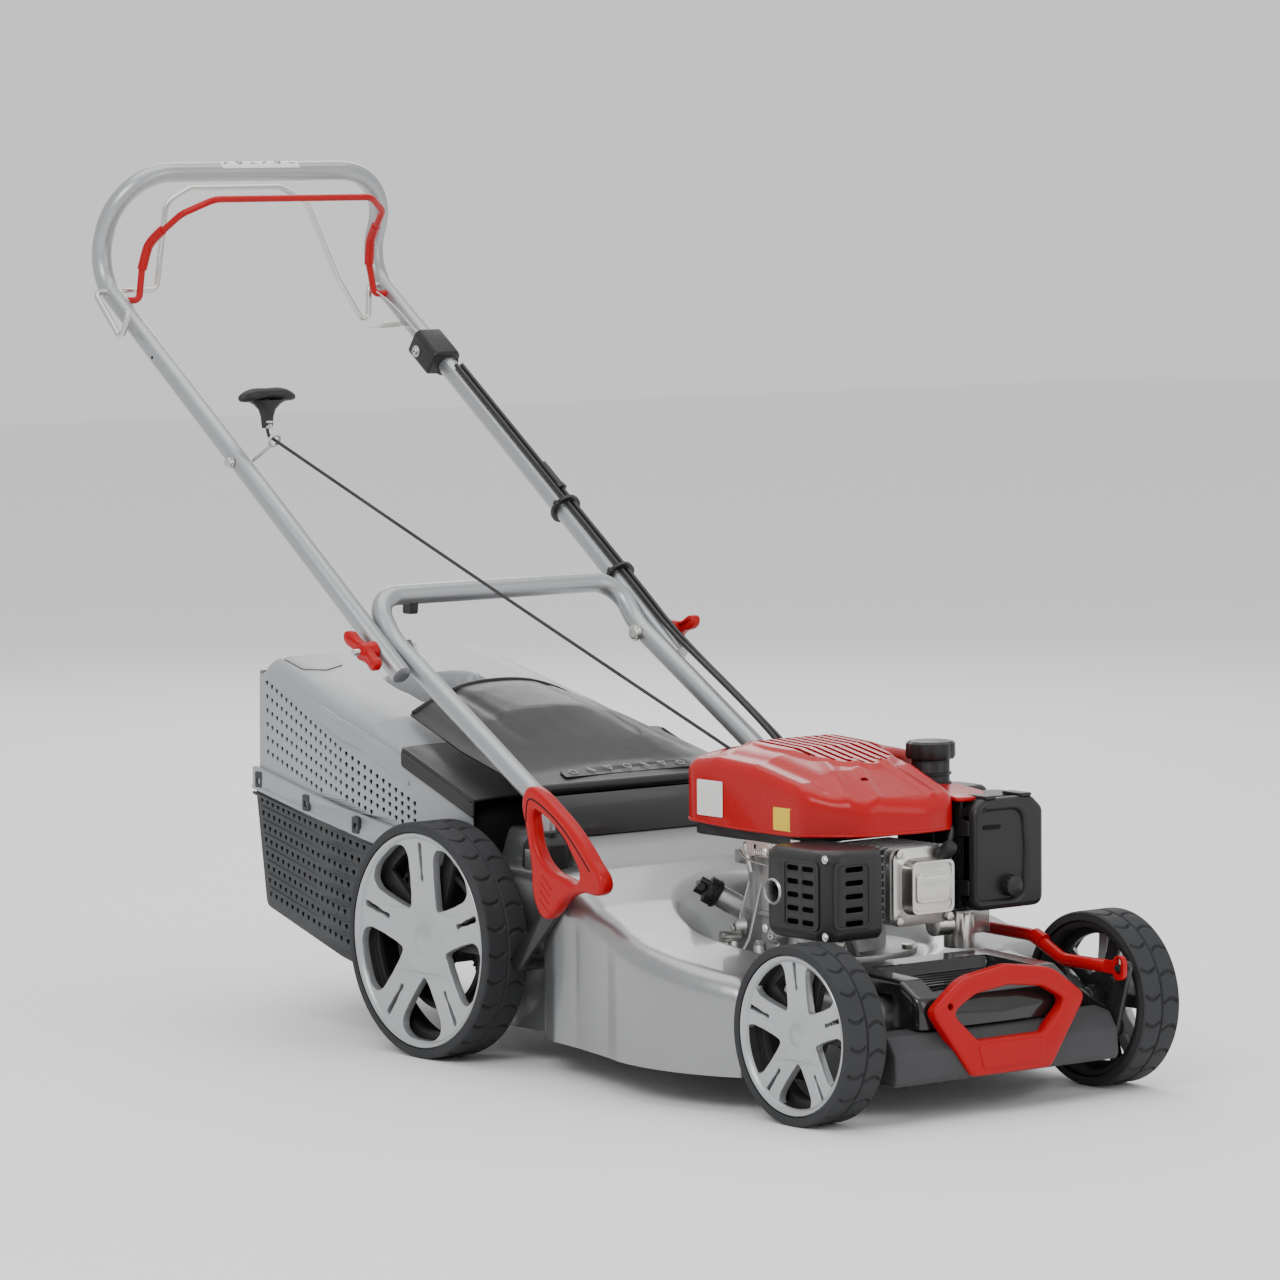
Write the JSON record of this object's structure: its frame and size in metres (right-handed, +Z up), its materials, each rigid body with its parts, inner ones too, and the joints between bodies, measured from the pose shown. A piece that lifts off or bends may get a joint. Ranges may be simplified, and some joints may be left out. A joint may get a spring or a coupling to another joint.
{
  "type": "walk-behind lawn mower",
  "caption": "Petrol rotary lawn mower with pressed steel deck, vertical-shaft engine, folding handle, rear grass bag and a lever that raises the wheels.",
  "frame": {"origin": "on the ground, under the middle of the bounding box at rest", "axes": "+X forward, +Y to the operator's left, +Z up"},
  "size_m": [1.5188, 0.53, 1.0545],
  "materials": {
    "deck_steel": "silver metallic paint, satin",
    "tube_steel": "silver-grey paint, satin",
    "red_plastic": "gloss red",
    "red_enamel": "gloss red enamel",
    "red_wire": "red plastic-coated wire",
    "black_gloss": "gloss black",
    "black_plastic": "matte black",
    "grey_plastic": "matte dark grey",
    "bag_light": "matte mid grey",
    "bag_dark": "matte charcoal",
    "zinc": "zinc plated",
    "steel": "bare steel",
    "blade_paint": "black paint",
    "aluminium": "as cast",
    "tyre": "dark grey rubber",
    "belt": "black rubber",
    "rim_plastic": "matte black",
    "silver_plastic": "silver painted plastic",
    "rope": "braided cord",
    "cable_sheath": "black sheath"
  },
  "bodies": {
    "chassis": {"deck": "deck_steel", "front_bumper": "grey_plastic", "front_cover": "black_gloss", "carry_handle": "red_plastic", "flap_bracket": "black_plastic", "hex_bolts": "zinc", "handle_sockets": "zinc", "lower_handle": "tube_steel", "handle_bolts": "zinc", "gearbox": "aluminium", "drive_belt": "belt", "crankcase": "aluminium", "cylinder": "aluminium", "valve_cover": "zinc", "engine_shroud": "red_enamel", "fuel_tank": "black_plastic", "muffler_guard": "black_plastic", "air_filter_housing": "black_plastic", "air_filter_cover": "black_plastic", "carburettor": "zinc", "starter_rope": "rope"},
    "crank_train": {"crankshaft": "steel", "flywheel": "aluminium", "blade_hub": "steel", "blade": "blade_paint", "blade_bolt": "zinc"},
    "starter": {"starter_grip": "black_plastic"},
    "fuel_cap_body": {"fuel_cap": "black_plastic"},
    "dipstick_body": {"dipstick": "black_plastic"},
    "driven_pulley": {"gearbox_pulley": "black_plastic"},
    "drive_shaft_body": {"drive_shaft": "steel"},
    "rear_swing_axle": {"rear_axle": "steel", "height_lever": "red_plastic"},
    "front_swing_axle": {"front_axle": "steel"},
    "link": {"height_link": "red_enamel"},
    "upper_handle_body": {"upper_handle": "tube_steel", "cable_bracket": "black_plastic", "rope_guide": "zinc", "stop_cable": "cable_sheath", "drive_cable": "cable_sheath"},
    "right_knob": {"right_wing_knob": "red_plastic"},
    "left_knob": {"left_wing_knob": "red_plastic"},
    "stop_bail_body": {"stop_bail": "red_wire"},
    "drive_bail_body": {"drive_bail": "zinc"},
    "bag": {"bag_upper": "bag_light", "bag_lower": "bag_dark", "bag_frame": "black_plastic"},
    "flap": {"rear_flap": "black_plastic"},
    "rear_right_wheel": {"rear_right_rim": "rim_plastic", "rear_right_tyre": "tyre", "rear_right_cover": "silver_plastic"},
    "rear_left_wheel": {"rear_left_rim": "rim_plastic", "rear_left_tyre": "tyre", "rear_left_cover": "silver_plastic"},
    "front_right_wheel": {"front_right_rim": "rim_plastic", "front_right_tyre": "tyre", "front_right_cover": "silver_plastic"},
    "front_left_wheel": {"front_left_rim": "rim_plastic", "front_left_tyre": "tyre", "front_left_cover": "silver_plastic"}
  },
  "joints": [
    {"name": "height_adjust", "type": "hinge", "parent": "chassis", "child": "rear_swing_axle", "pos_m": [0.0515, 0, 0.118], "axis": [0, -1, 0], "range_deg": [0, 44]},
    {"name": "front_height", "type": "hinge", "parent": "chassis", "child": "front_swing_axle", "pos_m": [0.7185, 0, 0.0775], "axis": [0, -1, 0], "range_deg": [0, 44]},
    {"name": "link_travel", "type": "slide", "parent": "chassis", "child": "link", "axis": [-1, 0, 0], "range_m": [0, 0.057]},
    {"name": "rear_right_spin", "type": "hinge", "parent": "rear_swing_axle", "child": "rear_right_wheel", "pos_m": [-0.0085, -0.23, 0.14], "axis": [0, 1, 0], "continuous": true},
    {"name": "rear_left_spin", "type": "hinge", "parent": "rear_swing_axle", "child": "rear_left_wheel", "pos_m": [-0.0085, 0.23, 0.14], "axis": [0, 1, 0], "continuous": true},
    {"name": "front_right_spin", "type": "hinge", "parent": "front_swing_axle", "child": "front_right_wheel", "pos_m": [0.6585, -0.215, 0.1], "axis": [0, 1, 0], "continuous": true},
    {"name": "front_left_spin", "type": "hinge", "parent": "front_swing_axle", "child": "front_left_wheel", "pos_m": [0.6585, 0.215, 0.1], "axis": [0, 1, 0], "continuous": true},
    {"name": "crank_spin", "type": "hinge", "parent": "chassis", "child": "crank_train", "pos_m": [0.4115, 0, 0.2], "axis": [0, 0, 1], "continuous": true},
    {"name": "gearbox_pulley_spin", "type": "hinge", "parent": "chassis", "child": "driven_pulley", "pos_m": [0.1235, 0, 0.1], "axis": [0, 0, 1], "continuous": true},
    {"name": "drive_shaft_spin", "type": "hinge", "parent": "chassis", "child": "drive_shaft_body", "pos_m": [0.0515, 0, 0.118], "axis": [0, 1, 0], "continuous": true},
    {"name": "handle_fold", "type": "hinge", "parent": "chassis", "child": "upper_handle_body", "pos_m": [-0.1435, 0, 0.472], "axis": [0, 1, 0], "range_deg": [0, 115], "deforming": ["stop_cable", "drive_cable", "starter_rope"]},
    {"name": "right_knob_turn", "type": "hinge", "parent": "upper_handle_body", "child": "right_knob", "pos_m": [-0.1435, -0.24, 0.472], "axis": [0, 1, 0], "continuous": true},
    {"name": "left_knob_turn", "type": "hinge", "parent": "upper_handle_body", "child": "left_knob", "pos_m": [-0.1435, 0.24, 0.472], "axis": [0, 1, 0], "continuous": true},
    {"name": "stop_bail_pull", "type": "hinge", "parent": "upper_handle_body", "child": "stop_bail_body", "pos_m": [-0.7055, 0, 0.881], "axis": [0, -1, 0], "range_deg": [0, 27], "stiffness_Nm_per_rad": 2, "springref_deg": -28.65},
    {"name": "drive_bail_pull", "type": "hinge", "parent": "upper_handle_body", "child": "drive_bail_body", "pos_m": [-0.7215, 0, 0.8925], "axis": [0, 1, 0], "range_deg": [0, 15], "stiffness_Nm_per_rad": 2, "springref_deg": -28.65},
    {"name": "flap_lift", "type": "hinge", "parent": "chassis", "child": "flap", "pos_m": [0.0915, 0, 0.318], "axis": [0, 1, 0], "range_deg": [0, 60], "stiffness_Nm_per_rad": 1.5, "springref_deg": -51.57},
    {"name": "bag_lift_off", "type": "slide", "parent": "chassis", "child": "bag", "axis": [-1, 0, 0], "range_m": [0, 0.35]},
    {"name": "starter_pull", "type": "slide", "parent": "upper_handle_body", "child": "starter", "axis": [-0.9484, 0.2845, 0.1398], "range_m": [0, 0.6], "stiffness_N_per_m": 15, "springref_m": -0.3},
    {"name": "fuel_cap_turn", "type": "hinge", "parent": "chassis", "child": "fuel_cap_body", "pos_m": [0.4915, 0.104, 0.375], "axis": [0, 0, 1], "range_deg": [0, 120]},
    {"name": "dipstick_out", "type": "slide", "parent": "chassis", "child": "dipstick_body", "axis": [-0.4996, -0.7077, 0.4996], "range_m": [0, 0.06]}
  ],
  "couplings": [
    {"joint": "front_height", "follows": "height_adjust", "ratio": 1},
    {"joint": "link_travel", "follows": "height_adjust", "m_per_rad": 0.0731},
    {"joint": "gearbox_pulley_spin", "follows": "crank_spin", "ratio": 0.83333}
  ]
}
